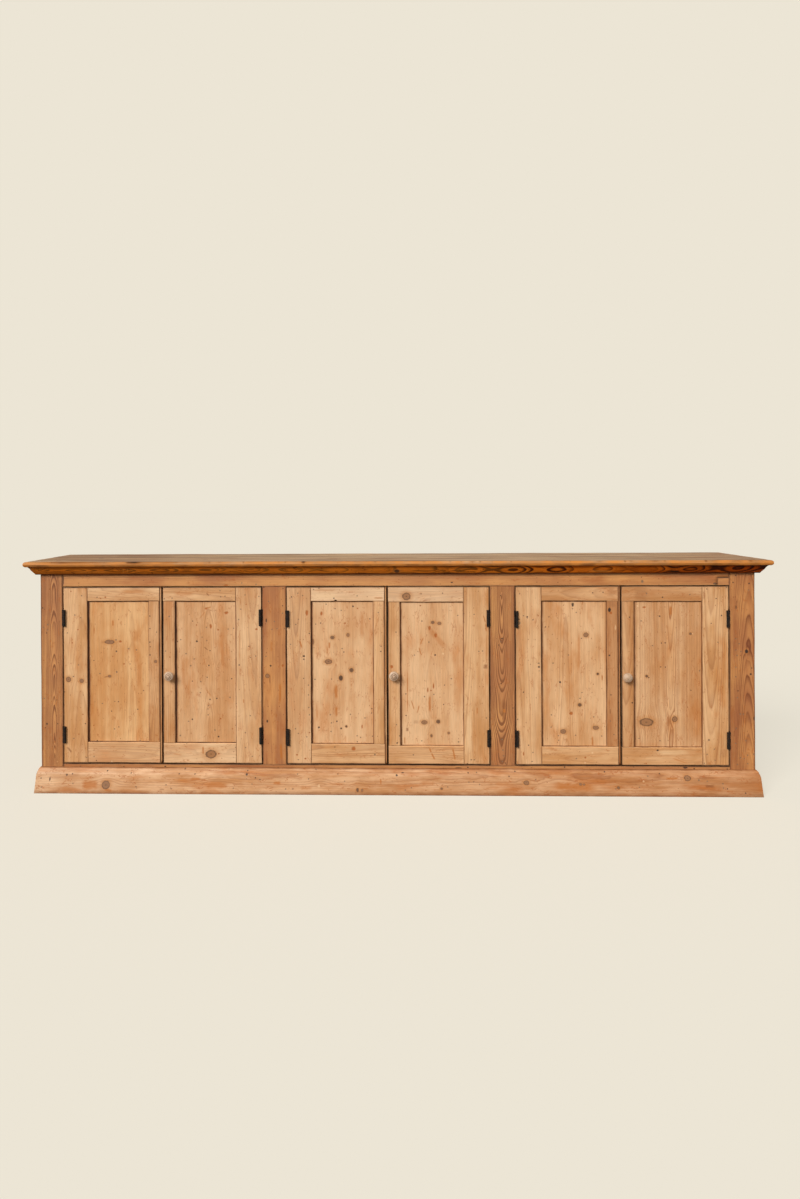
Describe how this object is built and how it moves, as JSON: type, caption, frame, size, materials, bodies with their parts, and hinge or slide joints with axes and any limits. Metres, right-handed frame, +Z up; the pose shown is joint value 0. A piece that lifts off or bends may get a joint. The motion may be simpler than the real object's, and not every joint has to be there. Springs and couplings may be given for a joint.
{
  "type": "sideboard cupboard",
  "caption": "Long low pine sideboard cupboard with pairs of framed doors between piers, a moulded overhanging top, a moulded plinth, butt hinges, turned knobs and shelves inside.",
  "frame": {"origin": "on the floor, under the middle of the whole cupboard", "axes": "+X along the length to the viewer's right, +Y from the front to the back, +Z up"},
  "size_m": [2.854, 0.56, 0.9],
  "materials": {
    "pine_top": "old waxed pine, worn grey-brown",
    "pine_moulding": "old dark waxed pine",
    "pine_frame": "old waxed pine, reddish",
    "pine_door": "old waxed pine, honey",
    "pine_panel": "old waxed pine, honey",
    "pine_plinth": "old waxed pine, scuffed",
    "pine_inside": "dry unwaxed pine",
    "knob_wood": "turned pine, handled",
    "hinge_iron": "blackened",
    "bolt_iron": "dull black"
  },
  "bodies": {
    "case": {"top_board_front": "pine_top", "top_board_middle": "pine_top", "top_board_back": "pine_top", "top_moulding_front": "pine_moulding", "top_moulding_returns": "pine_moulding", "corner_stile_left": "pine_frame", "corner_stile_right": "pine_frame", "pier_left": "pine_frame", "pier_right": "pine_frame", "face_top_rail": "pine_frame", "face_bottom_rail": "pine_frame", "plinth_front": "pine_plinth", "plinth_returns": "pine_plinth", "end_panel_left": "pine_frame", "end_panel_right": "pine_frame", "partitions": "pine_inside", "back_boards": "pine_inside", "back_rails": "pine_inside", "floor_boards": "pine_inside", "shelves": "pine_inside", "bearers": "pine_inside", "door_stops": "pine_inside", "hinge_frame_leaves": "hinge_iron", "hinge_pins": "hinge_iron"},
    "door_1": {"door_1_stiles": "pine_door", "door_1_rails": "pine_door", "door_1_panel": "pine_panel", "door_1_hinge_leaves": "hinge_iron", "bolt_1_plate": "bolt_iron"},
    "door_2": {"door_2_stiles": "pine_door", "door_2_rails": "pine_door", "door_2_panel": "pine_panel", "door_2_hinge_leaves": "hinge_iron"},
    "door_3": {"door_3_stiles": "pine_door", "door_3_rails": "pine_door", "door_3_panel": "pine_panel", "door_3_hinge_leaves": "hinge_iron", "bolt_3_plate": "bolt_iron"},
    "door_4": {"door_4_stiles": "pine_door", "door_4_rails": "pine_door", "door_4_panel": "pine_panel", "door_4_hinge_leaves": "hinge_iron"},
    "door_5": {"door_5_stiles": "pine_door", "door_5_rails": "pine_door", "door_5_panel": "pine_panel", "door_5_hinge_leaves": "hinge_iron", "bolt_5_plate": "bolt_iron"},
    "door_6": {"door_6_stiles": "pine_door", "door_6_rails": "pine_door", "door_6_panel": "pine_panel", "door_6_hinge_leaves": "hinge_iron"},
    "latch_2": {"knob_2": "knob_wood", "tongue_2": "bolt_iron"},
    "latch_4": {"knob_4": "knob_wood", "tongue_4": "bolt_iron"},
    "latch_6": {"knob_6": "knob_wood", "tongue_6": "bolt_iron"},
    "bolt_1_slide": {"bolt_1": "bolt_iron"},
    "bolt_3_slide": {"bolt_3": "bolt_iron"},
    "bolt_5_slide": {"bolt_5": "bolt_iron"}
  },
  "joints": [
    {"name": "door_1_hinge", "type": "hinge", "parent": "case", "child": "door_1", "pos_m": [-1.2814, -0.2338, 0.45], "axis": [0, 0, -1], "range_deg": [0, 95]},
    {"name": "door_2_hinge", "type": "hinge", "parent": "case", "child": "door_2", "pos_m": [-0.5146, -0.2338, 0.45], "axis": [0, 0, 1], "range_deg": [0, 95]},
    {"name": "door_3_hinge", "type": "hinge", "parent": "case", "child": "door_3", "pos_m": [-0.4074, -0.2338, 0.45], "axis": [0, 0, -1], "range_deg": [0, 95]},
    {"name": "door_4_hinge", "type": "hinge", "parent": "case", "child": "door_4", "pos_m": [0.3639, -0.2338, 0.45], "axis": [0, 0, 1], "range_deg": [0, 95]},
    {"name": "door_5_hinge", "type": "hinge", "parent": "case", "child": "door_5", "pos_m": [0.4741, -0.2338, 0.45], "axis": [0, 0, -1], "range_deg": [0, 95]},
    {"name": "door_6_hinge", "type": "hinge", "parent": "case", "child": "door_6", "pos_m": [1.2724, -0.2338, 0.45], "axis": [0, 0, 1], "range_deg": [0, 95]},
    {"name": "knob_2_turn", "type": "hinge", "parent": "door_2", "child": "latch_2", "pos_m": [-0.8685, -0.228, 0.4555], "axis": [0, 1, 0], "range_deg": [0, 90]},
    {"name": "knob_4_turn", "type": "hinge", "parent": "door_4", "child": "latch_4", "pos_m": [0.00125, -0.228, 0.4565], "axis": [0, 1, 0], "range_deg": [0, 90]},
    {"name": "knob_6_turn", "type": "hinge", "parent": "door_6", "child": "latch_6", "pos_m": [0.88975, -0.228, 0.452], "axis": [0, 1, 0], "range_deg": [0, 90]},
    {"name": "bolt_1_shoot", "type": "slide", "parent": "door_1", "child": "bolt_1_slide", "axis": [0, 0, 1], "range_m": [0, 0.014]},
    {"name": "bolt_3_shoot", "type": "slide", "parent": "door_3", "child": "bolt_3_slide", "axis": [0, 0, 1], "range_m": [0, 0.014]},
    {"name": "bolt_5_shoot", "type": "slide", "parent": "door_5", "child": "bolt_5_slide", "axis": [0, 0, 1], "range_m": [0, 0.014]}
  ]
}
